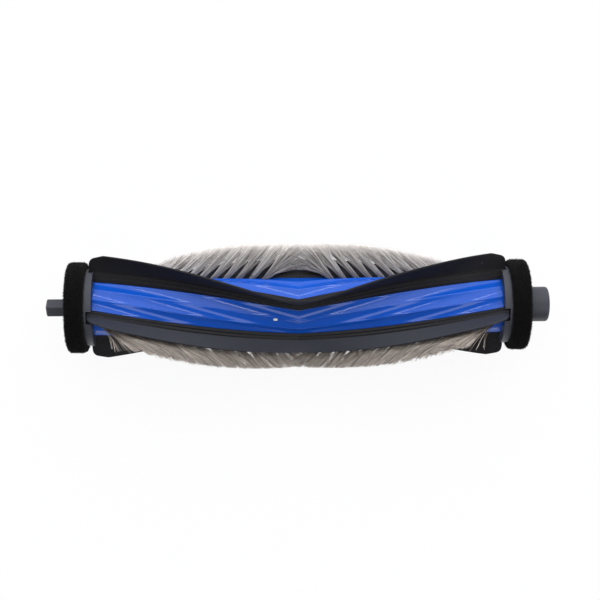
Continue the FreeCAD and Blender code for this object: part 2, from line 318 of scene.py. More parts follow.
# %% [markdown]
# ### Moulded surfaces
#
# The plastics and rubbers differ only in colour, gloss, grain and dust, so one function makes them all. Two
# close tones are mixed by the grain's coarse mask, which breaks up the flat colour a real moulding never
# has. The fine height goes to a bump, and the dust mask lightens the colour where a speck lies. The short
# blades are drawn slate, and black up to the top of their base strip, so a moulding can have a darker base
# up to a given radius.

# %% One function for moulded finishes
DUST_COLOUR = (0.16, 0.16, 0.17, 1.0)
dust_scale = 420.0
dust_size = 0.09
gloss_spread = 0.15
grain_depth = 0.05 * MM
base_fade_below = 0.1 * MM
base_fade_above = 0.25 * MM


def use_group(tree, group, inputs=None):
    """Places a group in a material with its own values."""
    node = tree.nodes.new("ShaderNodeGroup")
    node.node_tree = group
    for name, value in (inputs or {}).items():
        node.inputs[name].default_value = value
    return node


def new_finish(name, roughness, specular):
    """Material with one Principled shader."""
    material = bpy.data.materials.new(name)
    material.use_nodes = True
    shader = material.node_tree.nodes["Principled BSDF"]
    shader.inputs["Roughness"].default_value = roughness
    shader.inputs["Specular IOR Level"].default_value = specular
    return material, material.node_tree, shader


def moulded(name, dark, light, roughness, specular, grain_scale, bump, dust_amount, base=None):
    """Moulded plastic or rubber with two tones, grain and dust; base is a darker root and its top."""
    material, tree, shader = new_finish(name, roughness, specular)
    links = tree.links
    gloss_range = {"To Min": roughness * (1 - gloss_spread), "To Max": roughness * (1 + gloss_spread)}
    texture = use_group(tree, grain, {"Scale": grain_scale})
    specks = use_group(tree, dust, {"Scale": dust_scale, "Amount": dust_amount, "Size": dust_size})
    tones = add_node(tree, "ShaderNodeMix", {"A": dark, "B": light}, data_type="RGBA")
    dusty = add_node(tree, "ShaderNodeMix", {"B": DUST_COLOUR}, data_type="RGBA")
    gloss = add_node(tree, "ShaderNodeMapRange", gloss_range)
    relief = add_node(tree, "ShaderNodeBump", {"Strength": bump, "Distance": grain_depth})
    links.new(texture.outputs["Mask"], tones.inputs["Factor"])
    links.new(tones.outputs["Result"], dusty.inputs["A"])
    links.new(specks.outputs["Mask"], dusty.inputs["Factor"])
    if base:
        colour, top = base
        fade = {"From": top - base_fade_below, "To": top + base_fade_above}
        share = use_group(tree, reach_share, fade)
        rooted = add_node(tree, "ShaderNodeMix", {"A": colour}, data_type="RGBA")
        links.new(share.outputs["Share"], rooted.inputs["Factor"])
        links.new(tones.outputs["Result"], rooted.inputs["B"])
        links.new(rooted.outputs["Result"], dusty.inputs["A"])
    links.new(dusty.outputs["Result"], shader.inputs["Base Color"])
    links.new(texture.outputs["Mask"], gloss.inputs["Value"])
    links.new(gloss.outputs["Result"], shader.inputs["Roughness"])
    links.new(texture.outputs["Height"], relief.inputs["Height"])
    links.new(relief.outputs["Normal"], shader.inputs["Normal"])
    return material


print("dust lies in cells of about", round(1 / dust_scale / MM, 1), "mm")

# %% Moulded finishes
RUBBER_BLACK = (0.0095, 0.009, 0.0108, 1.0)
blade_seat_gap = 0.04 * MM
short_pad_height = 1.15 * MM
short_step_height = 1.05 * MM
short_step_top = seat + blade_seat_gap + short_pad_height + short_step_height
core_blue = moulded("core_blue", dark=(0.002, 0.066, 0.42, 1), light=(0.004, 0.080, 0.50, 1),
                    roughness=0.11, specular=0.5, grain_scale=90, bump=0.01, dust_amount=0.03)
blade_black = moulded("blade_black", dark=RUBBER_BLACK, light=(0.0145, 0.014, 0.0163, 1),
                      roughness=0.5, specular=0.18, grain_scale=260, bump=0.1, dust_amount=0.03)
blade_slate = moulded("blade_slate", dark=(0.021, 0.023, 0.033, 1), light=(0.028, 0.030, 0.043, 1),
                      roughness=0.5, specular=0.3, grain_scale=260, bump=0.1, dust_amount=0.1,
                      base=(RUBBER_BLACK, short_step_top))
cap_grey = moulded("cap_grey", dark=(0.034, 0.036, 0.048, 1), light=(0.046, 0.048, 0.062, 1),
                   roughness=0.48, specular=0.4, grain_scale=420, bump=0.25, dust_amount=0.03)
washer_white = moulded("washer_white", dark=(0.72, 0.72, 0.68, 1), light=(0.80, 0.80, 0.76, 1),
                       roughness=0.45, specular=0.4, grain_scale=300, bump=0.1, dust_amount=0.0)
print("moulded finishes made; slate starts", round(short_step_top / MM, 2), "mm from the axis")

# %% [markdown]
# ### Metal
#
# The pin, its clip and the tufts' anchors are steel, and the bush is bronze pressed from powder. Rings left
# by turning could be added, but these parts are small and sit inside. So they share one plain recipe: a
# metallic shader, two close tones and a fine grain.

# %% Metal finishes
metal_grain_scale = 900.0
metal_bump = 0.1
metal_grain_depth = 0.02 * MM


def bare_metal(name, dark, light, roughness):
    """Metal with two close tones and a fine grain."""
    material, tree, shader = new_finish(name, roughness, specular=0.5)
    shader.inputs["Metallic"].default_value = 1.0
    texture = use_group(tree, grain, {"Scale": metal_grain_scale})
    tones = add_node(tree, "ShaderNodeMix", {"A": dark, "B": light}, data_type="RGBA")
    relief = add_node(tree, "ShaderNodeBump", {"Strength": metal_bump, "Distance": metal_grain_depth})
    tree.links.new(texture.outputs["Mask"], tones.inputs["Factor"])
    tree.links.new(tones.outputs["Result"], shader.inputs["Base Color"])
    tree.links.new(texture.outputs["Height"], relief.inputs["Height"])
    tree.links.new(relief.outputs["Normal"], shader.inputs["Normal"])
    return material


ground_steel = bare_metal("ground_steel", dark=(0.50, 0.50, 0.52, 1), light=(0.64, 0.64, 0.66, 1),
                          roughness=0.3)
sintered_bronze = bare_metal("sintered_bronze", dark=(0.40, 0.24, 0.10, 1), light=(0.56, 0.36, 0.17, 1),
                             roughness=0.45)
print("metal finishes made:", ground_steel.name, "and", sintered_bronze.name)

# %% [markdown]
# ### Fibres
#
# A nylon fibre looks grey at its root, where light can't reach, and nearly white at its cut tip; that grey
# is painted shade. One colour for each row would look like felt. So the colour follows the distance from
# the axis, and each fibre has a painted shade of its own as an attribute: a loose fibre, which stands in a
# gap, and one on its bundle's underside are darkened towards brown, and one on the top stays light. Towards
# the tips the painted shade is lifted, much in the cool row and little in the warm one.

# %% Fibre finishes
tuft_tip_radius = 23.7 * MM
# A fibre in painted shade turns towards this dark brown.
SHADED_FIBRE = (0.11, 0.085, 0.07, 1.0)
paling_power = 1.2
tip_lift_start = 0.55


def bristle(name, root, tip, tip_shade_lift):
    """Nylon fibre that pales from root to tip, a painted shade, and darkens by each fibre's own painted
    shade, which is lifted at the tip by the last argument.
    """
    material, tree, shader = new_finish(name, roughness=0.42, specular=0.4)
    links = tree.links
    # Near the tips the painted shade is lifted.
    lift = {"From Min": tip_lift_start, "From Max": 1.0, "To Max": tip_shade_lift}
    share = use_group(tree, reach_share, {"From": seat, "To": tuft_tip_radius})
    pale = add_node(tree, "ShaderNodeMath", {1: paling_power}, operation="POWER")
    tones = add_node(tree, "ShaderNodeMix", {"A": root, "B": tip}, data_type="RGBA")
    own = add_node(tree, "ShaderNodeAttribute", attribute_name="shade")
    lifted = add_node(tree, "ShaderNodeMapRange", lift)
    shade_lifted = add_node(tree, "ShaderNodeMath", operation="MAXIMUM")
    shaded = add_node(tree, "ShaderNodeMix", {"A": SHADED_FIBRE}, data_type="RGBA")
    links.new(share.outputs["Share"], pale.inputs[0])
    links.new(pale.outputs[0], tones.inputs["Factor"])
    links.new(tones.outputs["Result"], shaded.inputs["B"])
    links.new(share.outputs["Share"], lifted.inputs["Value"])
    links.new(own.outputs["Fac"], shade_lifted.inputs[0])
    links.new(lifted.outputs["Result"], shade_lifted.inputs[1])
    links.new(shade_lifted.outputs[0], shaded.inputs["Factor"])
    links.new(shaded.outputs["Result"], shader.inputs["Base Color"])
    return material


# The slight blue at the cool row's root is a painted reflection.
bristle_cool = bristle("bristle_cool", root=(0.40, 0.40, 0.425, 1), tip=(0.98, 0.93, 0.885, 1),
                       tip_shade_lift=0.95)
# The warm row is the same nylon as the cool one; its browner, darker tips and small lift are painted shade,
# for a row that lies away from the main light.
bristle_shaded_row = bristle("bristle_shaded_row", root=(0.40, 0.345, 0.295, 1), tip=(0.83, 0.745, 0.67, 1),
                       tip_shade_lift=0.12)
print("fibre finishes made:", bristle_cool.name, "and", bristle_shaded_row.name)

# %% [markdown]
# ### Pile
#
# The pile is close to black, a little lighter at the tips of its hairs. A plain black would look like a
# hole, so it has a little sheen, which is how velvet catches light at its edge.

# %% Pile finish
pile_radius = 17.0 * MM
pile_inner_radius = 14.05 * MM


def pile(name, root, tip):
    """Black cut pile."""
    material, tree, shader = new_finish(name, roughness=0.9, specular=0.15)
    shader.inputs["Sheen Weight"].default_value = 0.03
    share = use_group(tree, reach_share, {"From": pile_inner_radius, "To": pile_radius})
    tones = add_node(tree, "ShaderNodeMix", {"A": root, "B": tip}, data_type="RGBA")
    tree.links.new(share.outputs["Share"], tones.inputs["Factor"])
    tree.links.new(tones.outputs["Result"], shader.inputs["Base Color"])
    return material


pile_black = pile("pile_black", root=(0.0015, 0.0015, 0.0015, 1), tip=(0.004, 0.0036, 0.004, 1))
print("pile finish made:", pile_black.name)

# %% [markdown]
# ## The blue core
#
# The core is a sixteen-sided bar, moulded glossy, with a narrow slot on every fourth side for a blade's
# foot. Its free sides are shallow flutes: a hollow side is dark along one edge and light along the other,
# and each ridge between two of them draws out a line of light. A twisted cylinder could be cut into this
# form, but its edges would come out ragged. So the whole outline is drawn at mid length, and the screw
# carries it to one end. A hair-thin line at mid length is the mould's seam.

# %% Core outline
bristle_facet = 3
slot_mouth_half = 0.85 * MM
slot_lip_depth = 1.1 * MM
slot_foot_half = 1.55 * MM
slot_depth = 2.25 * MM
ridge_half_width = 0.15 * MM
ridge_rounding = 0.14 * MM
ridge_segments = 3
flute_depth = 0.25 * MM
flute_half_width = core_corner_radius * math.sin(math.radians(facet_angle / 2)) - ridge_half_width
flute_half_steps = 4


def slot_points(facet):
    """Corners of a T slot, in the order of growing angle."""
    angle = row_angle(facet)
    lip = seat - slot_lip_depth
    bottom = seat - slot_depth
    corners = [(slot_mouth_half, seat), (slot_mouth_half, lip),
               (slot_foot_half, lip), (slot_foot_half, bottom)]
    left = [place(0, angle, -across, out) for across, out in corners]
    right = [place(0, angle, across, out) for across, out in reversed(corners)]
    return left + right


def flute_points(facet):
    """Points across a hollow facet."""
    shares = [step / flute_half_steps for step in range(-flute_half_steps, flute_half_steps + 1)]
    return [place(0, row_angle(facet), flute_half_width * share, seat - flute_depth * (1 - share ** 2))
            for share in shares]


def core_outline(bm):
    """Wire of the core's section at mid length; the bristle rows' facets stay flat."""
    points, ridges = [], []
    for facet in range(core_sides):
        ridges.append(len(points))
        points.append(place(0, row_angle(facet - 0.5), 0, core_corner_radius))
        if facet % quarter_turn == 0:
            points += slot_points(facet)
        elif facet % half_turn != bristle_facet:
            points += flute_points(facet)
    corners = outline_face(bm, points)
    round_corners(bm, [corners[index] for index in ridges], ridge_rounding, ridge_segments)
    return open_outline(bm)


print("a flute is", round(2 * flute_half_width / MM, 2), "mm wide")

# %% Core
core_bore_radius = 5.0 * MM
core_steps = 120
core_sharp_angle = 40
bore_segments = 48
seam_half_width = 0.12 * MM
seam_height = 0.03 * MM


def mould_seam(bm):
    """Thin raised line round the middle."""
    everything = list(bm.verts) + list(bm.edges) + list(bm.faces)
    bmesh.ops.bisect_plane(bm, geom=everything, plane_co=(seam_half_width, 0, 0), plane_no=AXIS)
    for vertex in bm.verts:
        if abs(vertex.co.x) < WELD and vertex.co.yz.length > seat - slot_lip_depth:
            vertex.co += Vector((0, vertex.co.y, vertex.co.z)).normalized() * seam_height


def make_core():
    """Twisted core with its bore."""
    bm = bmesh.new()
    end = edges_of(screw(bm, core_outline(bm), core_half_length, core_twist, core_steps))
    to_yz = Matrix.Rotation(math.radians(90), 4, "Y")
    ring = bmesh.ops.create_circle(bm, cap_ends=False, radius=core_bore_radius, segments=bore_segments,
                                   matrix=to_yz)["verts"]
    wire = ring + list(dict.fromkeys(edge for vertex in ring for edge in vertex.link_edges))
    end += edges_of(screw(bm, wire, core_half_length, 0, 1))
    bmesh.ops.triangle_fill(bm, edges=end, use_beauty=True)
    mould_seam(bm)
    both_halves(bm)
    return to_piece(bm, "blue_core", core_blue, core_sharp_angle)


core = make_core()
stands_for(core, "roller", "core_blue", "roller_core")

# %% [markdown]
# ## A pale lump
#
# One small pale lump lies on the core, in a flute left of the middle. A painted spot would look flat on
# such a glossy surface. So it is a small ball that noise makes lumpy, squeezed and laid against the flute.

# %% A pale lump on the core
lump_x = -8.5 * MM
lump_turn = -30.2
lump_size = (0.95 * MM, 0.55 * MM, 0.3 * MM)
lump_relief_height = 0.35
lump_relief_scale = 1.6
lump_sharp_angle = 60


def make_pale_lump():
    """Small pale lump that lies in a flute."""
    bm = bmesh.new()
    bmesh.ops.create_icosphere(bm, subdivisions=2, radius=1.0)
    for vertex in bm.verts:
        vertex.co *= 1.0 + lump_relief_height * noise.noise(vertex.co * lump_relief_scale)
    bmesh.ops.scale(bm, verts=list(bm.verts), vec=lump_size)
    angle = top_angle + lump_turn
    turn = Matrix((AXIS, tangent(angle), radial(angle))).transposed()
    bmesh.ops.rotate(bm, verts=list(bm.verts), cent=ORIGIN, matrix=turn)
    bmesh.ops.translate(bm, verts=list(bm.verts), vec=place(lump_x, angle, 0, seat))
    return to_piece(bm, "pale_lump", washer_white, lump_sharp_angle)


pale_lump = make_pale_lump()
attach(pale_lump, "roller")

# %% [markdown]
# ## Rubber blades
#
# A blade has a foot in the slot, a stepped base strip and a thin flap. The base follows the screw exactly.
# The flap's free edge can't: rubber won't fold to a point, so the edge rounds the chevron's tip and trails
# a little. A flat strip could be bent to that line, but its foot would leave the slot. So the outline is
# screwed first, and then each point of the flap is turned by its share of that lead.

# %% Blade outline
slot_clearance = 0.08 * MM
blade_pad_half = 2.1 * MM
blade_step_half = 1.35 * MM
blade_edge_rounding = 0.16 * MM
blade_edge_segments = 2
flap_root_half = 0.55 * MM
flap_tip_half = 0.4 * MM
flap_tip_rounding = 0.15 * MM
flap_tip_segments = 3
flap_cuts = 7


def blade_outline(bm, facet, pad_height, step_height, tip_radius):
    """Wire of a blade's section at mid length, and the radius where its flap starts."""
    angle = row_angle(facet)
    foot = slot_foot_half - slot_clearance
    neck = slot_mouth_half - slot_clearance
    bottom = seat - slot_depth + slot_clearance
    lip = seat - slot_lip_depth - slot_clearance
    base = seat + blade_seat_gap
    pad_top = base + pad_height
    step_top = pad_top + step_height
    seated = [(foot, bottom), (foot, lip), (neck, lip), (neck, base), (blade_pad_half, base)]
    stepped = [(blade_pad_half, pad_top), (blade_step_half, pad_top), (blade_step_half, step_top),
               (flap_root_half, step_top)]
    side = seated + stepped + [(flap_tip_half, tip_radius)]
    points = [place(0, angle, across, out) for across, out in side]
    points += [place(0, angle, -across, out) for across, out in reversed(side)]
    corners = outline_face(bm, points)
    pairs = list(zip(corners, reversed(corners)))
    tip = len(seated) + len(stepped)
    edges = [corner for pair in pairs[len(seated):tip] for corner in pair]
    round_corners(bm, edges, blade_edge_rounding, blade_edge_segments)
    round_corners(bm, list(pairs[tip]), flap_tip_rounding, flap_tip_segments)
    wire = open_outline(bm)
    flap_sides = [edge for edge in edges_of(wire) if edge.calc_length() > (tip_radius - step_top) / 2]
    bmesh.ops.subdivide_edges(bm, edges=flap_sides, cuts=flap_cuts)
    return list(bm.verts) + list(bm.edges), step_top


print("a blade's foot is", round(2 * (slot_foot_half - slot_clearance) / MM, 2), "mm wide")

# %% Flap shape
blade_overhang = 1.7 * MM
blade_end = core_half_length + blade_overhang
flap_slope_length = 5.7 * MM
flap_slope_angle = 18.0
flap_corner_radius = 2.9 * MM
flap_root_share = 0.01
flap_vertex_power = 4
flap_wave_height = 0.16 * MM
flap_wave_length = 19.0 * MM


def flap_limit(x, tip_radius):
    """Radius that the flap's sloped and rounded outer corner leaves."""
    slope = math.radians(flap_slope_angle)
    start = blade_end - flap_slope_length
    meet = blade_end - flap_corner_radius * (1 - math.sin(slope))
    meet_radius = tip_radius - math.tan(slope) * (meet - start)
    centre = blade_end - flap_corner_radius
    centre_radius = meet_radius - flap_corner_radius * math.cos(slope)
    if x <= meet:
        return tip_radius - math.tan(slope) * max(0.0, x - start)
    return centre_radius + math.sqrt(max(0.0, flap_corner_radius ** 2 - (x - centre) ** 2))


def flap_lead(x):
    """Degrees by which the free edge leads the screw at mid length; farther out it trails, below zero."""
    power = flap_vertex_power
    rounded = (x ** power + flap_vertex_rounding ** power) ** (1 / power)
    return twist_rate * (rounded - flap_lag - x)


def shape_flap(bm, step_top, tip_radius):
    """Rounds the chevron's tip and the outer corners, and lets the free edge wave a little."""
    for vertex in bm.verts:
        out = vertex.co.yz.length
        share = (out - step_top) / (tip_radius - step_top)
        if share <= flap_root_share:
            continue
        x = abs(vertex.co.x)
        angle = math.degrees(math.atan2(vertex.co.y, vertex.co.z)) + flap_lead(x) * share
        wave = noise.noise(Vector((vertex.co.x / flap_wave_length, top_angle, tip_radius / MM)))
        low = step_top + (flap_limit(x, tip_radius) - step_top) * share
        vertex.co = place(vertex.co.x, angle, wave * flap_wave_height * share, low)


print("the free edge leads by", round(flap_lead(0.0), 2), "degrees at mid length")

# %% Blades
tall_pad_height = 1.8 * MM
tall_step_height = 1.5 * MM
tall_tip_radius = 20.9 * MM
short_tip_radius = 17.8 * MM
blade_steps = 120
blade_sharp_angle = 35
corner_length = 3.4 * MM
corner_steps = 20


def make_blade(name, facet, pad_height, step_height, tip_radius, finish):
    """One chevron blade."""
    bm = bmesh.new()
    wire, step_top = blade_outline(bm, facet, pad_height, step_height, tip_radius)
    straight = blade_end - corner_length
    wire = screw(bm, wire, straight, twist_rate * straight, blade_steps)
    wire = screw(bm, wire, corner_length, twist_rate * corner_length, corner_steps)
    bmesh.ops.triangle_fill(bm, edges=edges_of(wire), use_beauty=True)
    both_halves(bm)
    shape_flap(bm, step_top, tip_radius)
    return to_piece(bm, name, finish, blade_sharp_angle)


tall = (tall_pad_height, tall_step_height, tall_tip_radius, blade_black)
short = (short_pad_height, short_step_height, short_tip_radius, blade_slate)
for number, turn in (("1", 0), ("2", half_turn)):
    flap = make_blade("tall_flap_" + number, turn, *tall)
    stands_for(flap, "roller", "blade_black", "tall_blade_" + number)
    flap = make_blade("short_flap_" + number, quarter_turn + turn, *short)
    stands_for(flap, "roller", "blade_slate", "short_blade_" + number)

# %% [markdown]
# ## Bristles
#
# Each tuft is a bundle of nylon fibres folded into a slanted hole and cut level. Most fibres stay together
# as a tight bundle. The others work loose: they fan out along the row and fill the gaps between bundles.
# Beside a gap all of them splay into it: the first tuft of each half leans right across the middle, and the
# last one throws a few strays outwards. Hair particles are the quick way to make fibres. Here each fibre is
# a short curve with a round section, because then it has its own bend and shade, and all the curves of a
# half row become one mesh. The random draws are seeded, so every run is the same.

# %% Holes of the tufts
tuft_pitch = 5.0 * MM
tuft_count = 13
tuft_lean_middle = 38.0
tuft_lean_end = 51.0
tuft_half_spread = 1.95 * MM
tuft_middle_gap = 0.17 * MM
tuft_height = tuft_tip_radius - seat
first_tuft = tuft_middle_gap + tuft_half_spread + tuft_height * math.tan(math.radians(tuft_lean_middle))
pressed_tufts = 3
pressed_lean = 12.0


def hole_lean(index):
    """Lean of a tuft's hole, which grows towards the ends."""
    return tuft_lean_middle + (tuft_lean_end - tuft_lean_middle) * index / (tuft_count - 1)


def bent_lean(index, pressed):
    """Extra lean of the end tufts of a half row that lay pressed in its box."""
    if not pressed:
        return 0.0
    return pressed_lean * max(0, index + 1 + pressed_tufts - tuft_count) / pressed_tufts


print("the first tuft stands", round(first_tuft / MM, 2), "mm from the middle")

# %% Lean of a fibre
tight_fan = 1.4
tight_scatter = 0.8
loose_fan = 10.0
inner_splay = 38.0
inner_splay_from = -0.4
inner_splay_base = 0.7
second_splay = 9.5
second_splay_from = 0.4
outer_splay = 30.0
stray_share = 0.18
steepest_lean = 77.0


def fibre_lean(draw, index, inward, loose):
    """Lean of a fibre, from its place in the tuft and the room beside the tuft."""
    if loose:
        fan = draw.uniform(-loose_fan, loose_fan)
    else:
        fan = tight_fan * inward + draw.gauss(0, tight_scatter)
    lean = hole_lean(index) + fan
    if index == 0 and inward > inner_splay_from:
        lean += inner_splay * draw.random() * min(1.0, inward + inner_splay_base)
    if index == 1 and inward > second_splay_from:
        lean += second_splay * draw.random()
    if index == tuft_count - 1 and inward < 0.0 and draw.random() < stray_share:
        lean -= outer_splay * draw.random()
    return min(lean, steepest_lean)


print("holes lean from", hole_lean(0), "to", hole_lean(tuft_count - 1), "degrees")

# %% Points of a fibre
tuft_hole_radius = 0.88 * MM
tuft_tip_half_width = 1.6 * MM
fibre_sink = 1.0 * MM
fibre_stations = (0.0, 0.3, 0.65, 1.0)
longest_fibre = 19.0 * MM
middle_overlap = 3.0 * MM
uneven_cut = 0.1
sideways_scatter = 0.25 * MM
bend_power = 0.6
spread_power = 1.5


def leaning(angle, lean):
    """Unit vector away from the axis that leans towards mid length."""
    return radial(angle) * math.cos(lean) - Vector(AXIS) * math.sin(lean)


def fibre_length(draw, x, lean):
    """Length up to the level cut, limited for a fibre that lies flat or reaches past the middle."""
    past_middle = (x + middle_overlap) / math.sin(lean)
    longest = min(tuft_height / math.cos(lean), longest_fibre, past_middle)
    return longest * (1.0 - uneven_cut * draw.random() ** 2)


def fibre_points(draw, facet, index, side, inward, across, loose, pressed):
    """Points of one fibre, from inside its hole to its cut tip."""
    x = first_tuft + tuft_pitch * index
    angle = row_angle(facet) + twist_rate * x
    lean = math.radians(fibre_lean(draw, index, inward, loose) + bent_lean(index, pressed))
    length = fibre_length(draw, x, lean)
    root_lean = math.radians(hole_lean(index))
    root_x = x - inward * tuft_hole_radius / math.cos(root_lean)
    root = place(root_x, angle, across * tuft_hole_radius, seat)
    start = leaning(angle, root_lean)
    reach = leaning(angle, lean)
    flare = across * (tuft_tip_half_width - tuft_hole_radius) + draw.gauss(0, sideways_scatter)
    spread = tangent(angle) * flare
    points = []
    for share in fibre_stations:
        bend = share ** bend_power
        point = root - start * fibre_sink * (1 - share)
        point += (start * (1 - bend) + reach * bend) * length * share + spread * share ** spread_power
        points.append(Vector((point.x * side, point.y, point.z)))
    return points


print("tufts are", round(tuft_height / MM, 2), "mm high over the core")

# %% Shade of a fibre
# A loose fibre stands in a gap between bundles and gets a dark painted shade; a bundle's underside gets
# painted shade, and the first tuft almost none.
loose_painted_shade = 0.06
loose_painted_shade_range = 0.28
first_tuft_shade = 1.05
bundle_shade = 0.78
underside_painted_shade = 0.3
strand_scale = 2.7
strand_contrast = 0.55
shade_scatter = 0.15


def fibre_shade(draw, index, inward, across, loose):
    """Painted shade of a fibre, 1 for none: dark if it is loose and stands in a gap, else lighter from its
    bundle's underside to its top, with random strands.
    """
    if loose:
        return loose_painted_shade + loose_painted_shade_range * draw.random()
    strand = noise.noise(Vector((inward, across, index)) * strand_scale)
    clear = first_tuft_shade if index == 0 else bundle_shade - underside_painted_shade * inward
    return max(0.0, min(1.0, clear + strand_contrast * strand + shade_scatter * draw.random()))


def shade_fibres(mesh, shades):
    """Gives each fibre its own painted shade."""
    per_fibre = len(mesh.vertices) // len(shades)
    layer = mesh.attributes.new("shade", "FLOAT", "POINT")
    layer.data.foreach_set("value", [shade for shade in shades for _ in range(per_fibre)])


print("loose fibres have a shade of", round(loose_painted_shade + loose_painted_shade_range, 2), "at most")

# %% Half rows of tufts
fibres_per_tuft = 190
fibre_radius = 0.065 * MM
fibre_taper = [1.0, 1.0, 0.95, 0.75]
loose_share = 0.42
loose_across = 0.25
all_smooth = 180


def disc_point(draw):
    """Random point of a unit disc."""
    turn = 2 * math.pi * draw.random()
    out = math.sqrt(draw.random())
    return out * math.cos(turn), out * math.sin(turn)


def half_row_curves(name, facet, side, seed):
    """All fibres of a half row as curves, with a shade for each."""
    draw = random.Random(seed)
    pressed = facet == bristle_facet and side < 0
    shades = []
    curve = bpy.data.curves.new(name, "CURVE")
    curve.dimensions = "3D"
    curve.bevel_depth = fibre_radius
    curve.bevel_resolution = 0
    curve.use_fill_caps = True
    for index in range(tuft_count):
        for _ in range(fibres_per_tuft):
            spline = curve.splines.new("POLY")
            inward, across = disc_point(draw)
            loose = draw.random() < loose_share
            if loose:
                across *= loose_across
            points = fibre_points(draw, facet, index, side, inward, across, loose, pressed)
            shades.append(fibre_shade(draw, index, inward, across, loose))
            spline.points.add(len(points) - 1)
            spline.points.foreach_set("co", [value for point in points for value in (*point, 1.0)])
            spline.points.foreach_set("radius", fibre_taper)
    return curve, shades


def make_half_row(name, facet, side, seed, finish):
    """Half row of tufts as one mesh; its caps are welded to their tubes."""
    curve, shades = half_row_curves(name + "_curves", facet, side, seed)
    carrier = bpy.data.objects.new(name + "_curves", curve)
    mesh = bpy.data.meshes.new_from_object(carrier)
    bpy.data.objects.remove(carrier)
    bpy.data.curves.remove(curve)
    shade_fibres(mesh, shades)
    bm = bmesh.new()
    bm.from_mesh(mesh)
    bpy.data.meshes.remove(mesh)
    return to_piece(bm, name, finish, all_smooth)


rows = (("1", bristle_facet, bristle_cool), ("2", bristle_facet + half_turn, bristle_shaded_row))
for number, facet, finish in rows:
    for word, side in (("left", -1), ("right", 1)):
        seed = int(number) * 10 + side
        tufts = make_half_row("fibres_row_" + number + "_" + word, facet, side, seed, finish)
        stands_for(tufts, "roller", "bristle_grey", "bristle_row_" + number + "_" + word)

# %% [markdown]
# ## Pile rings
#
# A strip of black pile is glued round each rim. Its surface is thousands of short stiff hairs, and separate
# hairs would take far more faces than they are worth. So the ring is spun from a small rounded section,
# divided into a fine grid, and every outer face is poked: that gives it a point in its middle, which is
# pulled out into a hair. The mesh stays closed, and the hairs are geometry. The points are sorted by place
# before the random draws, because a spun mesh can list its faces in another order each run.

# %% Section of a pile ring
pile_cell = 0.27 * MM
pile_hair = 0.62 * MM
pile_hair_above = 0.6
pile_side_room = 0.2 * MM
pile_edge = 0.9 * MM
pile_edge_segments = 3
pile_glued_height = 1.0 * MM


def pile_section(bm, node):
    """Section of the ring in the XZ plane, below the tips of its hairs; its outer edges are divided."""
    low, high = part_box(node)
    outer = pile_radius - pile_hair_above * pile_hair
    start = low.x + pile_side_room
    end = high.x - pile_side_room
    points = [Vector((start, 0, pile_inner_radius)), Vector((end, 0, pile_inner_radius)),
              Vector((end, 0, outer)), Vector((start, 0, outer))]
    corners = outline_face(bm, points)
    round_corners(bm, corners[2:], pile_edge, pile_edge_segments)
    wire = open_outline(bm)
    for edge in edges_of(wire):
        cuts = round(edge.calc_length() / pile_cell) - 1
        if cuts > 0 and max(vertex.co.z for vertex in edge.verts) > pile_inner_radius + pile_glued_height:
            bmesh.ops.subdivide_edges(bm, edges=[edge], cuts=cuts)
    return list(bm.verts) + list(bm.edges)


print("pile stands", round((pile_radius - pile_inner_radius) / MM, 2), "mm over its rim")

# %% Hairs and rings
pile_hair_lean = 0.16 * MM
pile_hair_shortest = 0.45
pile_hair_range = 0.75
pile_glue_line = 0.1 * MM
pile_spin_steps = 380
place_digits = 6


def grow_hairs(bm, seed):
    """Pokes every face that isn't against the rim and pulls its middle out."""
    draw = random.Random(seed)
    rim = pile_inner_radius + pile_glue_line
    outside = [face for face in bm.faces if face.calc_center_median().yz.length > rim]
    tips = bmesh.ops.poke(bm, faces=outside)["verts"]
    tips.sort(key=lambda vertex: vertex.co.to_tuple(place_digits))
    bm.normal_update()
    pulls = [(vertex, vertex.normal.copy()) for vertex in tips]
    for vertex, normal in pulls:
        lean = Vector((draw.gauss(0, 1), draw.gauss(0, 1), draw.gauss(0, 1))) * pile_hair_lean
        vertex.co += normal * pile_hair * (pile_hair_shortest + pile_hair_range * draw.random()) + lean


def make_pile_ring(name, node, seed):
    """Ring of cut pile."""
    bm = bmesh.new()
    wire = pile_section(bm, node)
    bmesh.ops.spin(bm, geom=wire, cent=ORIGIN, axis=AXIS, dvec=(0, 0, 0), angle=math.radians(360),
                   steps=pile_spin_steps, use_merge=True)
    bmesh.ops.remove_doubles(bm, verts=list(bm.verts), dist=WELD)
    bmesh.ops.recalc_face_normals(bm, faces=list(bm.faces))
    grow_hairs(bm, seed)
    return to_piece(bm, name, pile_black, all_smooth)


for end_name, seed in (("drive", 31), ("bearing", 32)):
    ring = make_pile_ring(end_name + "_pile", end_name + "_pile_ring", seed)
    stands_for(ring, "roller", "pile_black", end_name + "_pile_ring")

# %% [markdown]
# ## Caps, bearing and metal parts
#
# These solids already have their true form. They could be modelled again as finer meshes, but nothing would
# be gained, so they stay, and only their finish changes.

# %% Dress the solids that stay
dressed = {
    "drive_end_cap": cap_grey,
    "bearing_end_cap": cap_grey,
    "bearing_cap": cap_grey,
    "thrust_washer": washer_white,
    "bearing_bush": sintered_bronze,
    "axle_pin": ground_steel,
    "retaining_clip": ground_steel,
    "tuft_anchors_row_1": ground_steel,
    "tuft_anchors_row_2": ground_steel,
}
for node, finish in dressed.items():
    for material_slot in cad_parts[node].material_slots:
        material_slot.material = finish
print("dressed:", ", ".join(dressed))

# %% [markdown]
# ## Floor
#
# The brush lies on a plain white floor. Strong light could make the floor white, but it would bleach the
# brush too. So the floor shows itself as nearly white to the camera and in reflections, and a small share
# of its real surface stays in the mix. That share takes a soft shadow, so the brush doesn't float.

# %% Floor
floor_half = 3.0
floor_glow_share = 0.93
FLOOR_WHITE = (0.94, 0.94, 0.94, 1.0)


